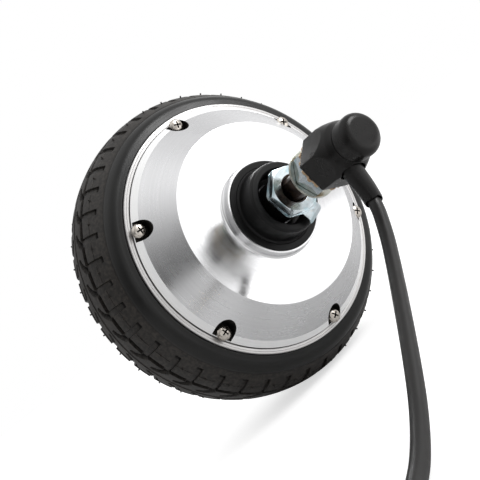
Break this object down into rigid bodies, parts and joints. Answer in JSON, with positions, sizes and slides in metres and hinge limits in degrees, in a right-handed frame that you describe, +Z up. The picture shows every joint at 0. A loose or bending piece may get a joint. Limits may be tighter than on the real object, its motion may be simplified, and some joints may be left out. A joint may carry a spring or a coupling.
{
  "type": "hub motor wheel",
  "caption": "Direct-drive hub motor wheel with a solid rubber tyre on an aluminium rim, a threaded axle with flats, lock washers and nuts, and an elbow outlet with cable and plug.",
  "frame": {"origin": "centre of the wheel, on the axle's axis", "axes": "the axle lies along Y, the cable leaves on the -Y side, +Z is up, and the ground is at z = -0.1"},
  "size_m": [0.3495, 0.406, 0.2],
  "materials": {
    "tyre_rubber": "matt moulded rubber with a worn sheen on the tread",
    "machined_aluminium": "turned and polished, with fine concentric lathe marks",
    "steel": "ground steel",
    "stainless": "bright pressed screw heads",
    "zinc": "blue-white zinc plating",
    "axle_steel": "dark brown oiled steel",
    "seal_rubber": "smooth black rubber with a satin sheen",
    "black_plastic": "moulded black plastic, softly glossy",
    "cable_jacket": "black cable jacket, satin",
    "laminations": "stacked electrical steel",
    "magnet_nickel": "nickel-plated magnets",
    "copper": "enamelled copper wire",
    "circuit_board": "green solder mask",
    "bronze": "yellow passivated steel and bronze",
    "gold": "gold-plated contact pins",
    "dark_insert": "blue-black moulded insert"
  },
  "bodies": {
    "axle_group": {"axle": "axle_steel", "stator_hub": "machined_aluminium", "stator_core": "laminations", "winding_phase_a": "copper", "winding_phase_b": "copper", "winding_phase_c": "copper", "hall_board": "circuit_board", "hall_sensor_1": "black_plastic", "hall_sensor_2": "black_plastic", "hall_sensor_3": "black_plastic", "inner_leads": "cable_jacket", "cable_side_bearing_inner": "steel", "plain_side_bearing_inner": "steel", "cable_side_spacer_collar": "black_plastic", "plain_side_spacer_collar": "black_plastic", "cable_side_lock_washer": "zinc", "plain_side_lock_washer": "zinc", "cable_side_inner_nut": "zinc", "plain_side_inner_nut": "zinc", "cable_side_outer_washer": "zinc", "plain_side_outer_washer": "zinc", "cable_side_axle_nut": "zinc", "plain_side_axle_nut": "zinc", "tooth_washer": "bronze", "elbow_housing": "black_plastic", "elbow_cap": "black_plastic", "strain_relief": "black_plastic", "motor_cable": "cable_jacket", "cable_coil": "cable_jacket", "cable_tie": "black_plastic", "plug_boot": "black_plastic", "plug_shell": "black_plastic", "plug_insert": "dark_insert", "plug_pin_1": "gold", "plug_pin_2": "gold", "plug_pin_3": "gold", "plug_pin_4": "gold", "plug_pin_5": "gold", "plug_pin_6": "gold", "plug_pin_7": "gold", "plug_pin_8": "gold", "plug_pin_9": "gold"},
    "wheel": {"tyre": "tyre_rubber", "rim_shell": "machined_aluminium", "cable_side_cover": "machined_aluminium", "cover_screw_1": "stainless", "cover_screw_2": "stainless", "cover_screw_3": "stainless", "cover_screw_4": "stainless", "cover_screw_5": "stainless", "cover_screw_6": "stainless", "back_iron_ring": "steel", "magnet_ring": "magnet_nickel", "cable_side_seal": "seal_rubber", "plain_side_seal": "seal_rubber", "cable_side_bearing_outer": "steel", "plain_side_bearing_outer": "steel"},
    "cable_side_balls": {"cable_side_ball_cage": "bronze"},
    "plain_side_balls": {"plain_side_ball_cage": "bronze"}
  },
  "joints": [
    {"name": "wheel_spin", "type": "hinge", "parent": "axle_group", "child": "wheel", "pos_m": [0, 0, 0], "axis": [0, 1, 0], "continuous": true},
    {"name": "cable_side_balls_roll", "type": "hinge", "parent": "axle_group", "child": "cable_side_balls", "pos_m": [0, 0, 0], "axis": [0, 1, 0], "continuous": true},
    {"name": "plain_side_balls_roll", "type": "hinge", "parent": "axle_group", "child": "plain_side_balls", "pos_m": [0, 0, 0], "axis": [0, 1, 0], "continuous": true}
  ],
  "couplings": [
    {"joint": "cable_side_balls_roll", "follows": "wheel_spin", "ratio": 0.567},
    {"joint": "plain_side_balls_roll", "follows": "wheel_spin", "ratio": 0.567}
  ]
}
